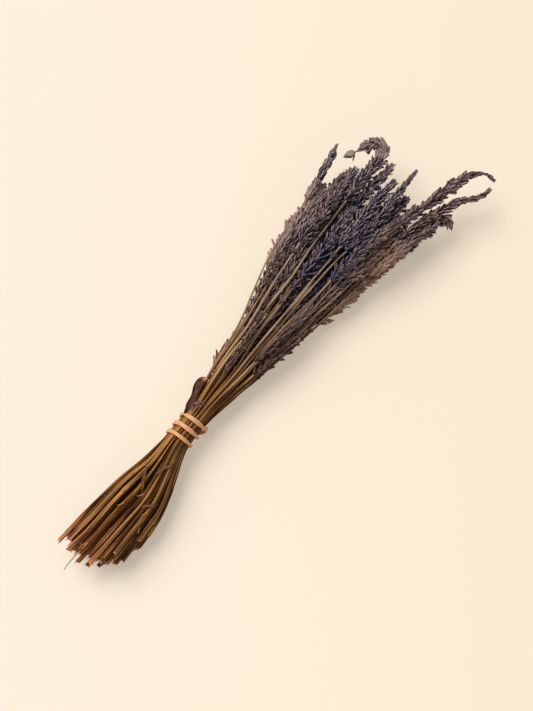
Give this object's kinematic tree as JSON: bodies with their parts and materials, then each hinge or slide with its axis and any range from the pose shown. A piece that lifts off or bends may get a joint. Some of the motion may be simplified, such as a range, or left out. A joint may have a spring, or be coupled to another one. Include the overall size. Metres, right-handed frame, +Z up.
{
  "type": "dried lavender bunch",
  "caption": "Bunch of dried lavender sprigs tied round the waist with a rubber band, lying on its side, with the flower spikes fanned out and the cut stem ends flared.",
  "frame": {"origin": "on the surface the bunch lies on, under the middle of its bounding box", "axes": "+X along the bunch from the cut stem ends to the flower spikes, +Y across it to the left when looking along +X, +Z up"},
  "size_m": [0.4118, 0.1106, 0.0413],
  "materials": {
    "dried_stem": "dry, matt, golden-brown ridged stem",
    "dried_flowers": "dry, matt, grey-violet ribbed flower cups",
    "dried_leaf": "dry, crinkled, dark brown",
    "tan_rubber": "smooth tan rubber with a soft sheen"
  },
  "bodies": {
    "root": {"rubber_band": "tan_rubber", "curled_leaf": "dried_leaf", "leaf_scrap_1": "dried_leaf", "leaf_scrap_2": "dried_leaf", "leaf_scrap_3": "dried_leaf", "loose_stalk": "dried_stem", "sprig_01": "dried_flowers", "sprig_02": "dried_flowers", "sprig_03": "dried_flowers", "sprig_04": "dried_flowers", "sprig_05": "dried_flowers", "sprig_06": "dried_flowers", "sprig_07": "dried_flowers", "sprig_08": "dried_flowers", "sprig_09": "dried_flowers", "sprig_10": "dried_flowers", "sprig_11": "dried_flowers", "sprig_12": "dried_flowers", "sprig_13": "dried_flowers", "sprig_14": "dried_flowers", "sprig_15": "dried_flowers", "sprig_16": "dried_flowers", "sprig_17": "dried_flowers", "sprig_18": "dried_flowers", "sprig_19": "dried_flowers", "sprig_20": "dried_flowers", "sprig_21": "dried_flowers", "sprig_22": "dried_flowers", "sprig_23": "dried_flowers", "sprig_24": "dried_flowers", "sprig_25": "dried_flowers", "sprig_26": "dried_flowers", "sprig_27": "dried_flowers", "sprig_28": "dried_flowers", "sprig_29": "dried_flowers", "sprig_30": "dried_flowers", "sprig_31": "dried_flowers", "sprig_32": "dried_flowers", "sprig_33": "dried_flowers", "sprig_34": "dried_flowers", "sprig_35": "dried_flowers", "sprig_36": "dried_flowers", "sprig_37": "dried_flowers", "sprig_38": "dried_flowers", "sprig_39": "dried_flowers", "sprig_40": "dried_flowers", "sprig_41": "dried_flowers", "sprig_42": "dried_flowers", "sprig_43": "dried_flowers", "sprig_44": "dried_flowers", "sprig_45": "dried_flowers", "sprig_46": "dried_flowers", "sprig_47": "dried_flowers", "sprig_48": "dried_flowers", "sprig_49": "dried_flowers", "sprig_50": "dried_flowers", "sprig_51": "dried_flowers", "sprig_52": "dried_flowers"}
  },
  "joints": []
}
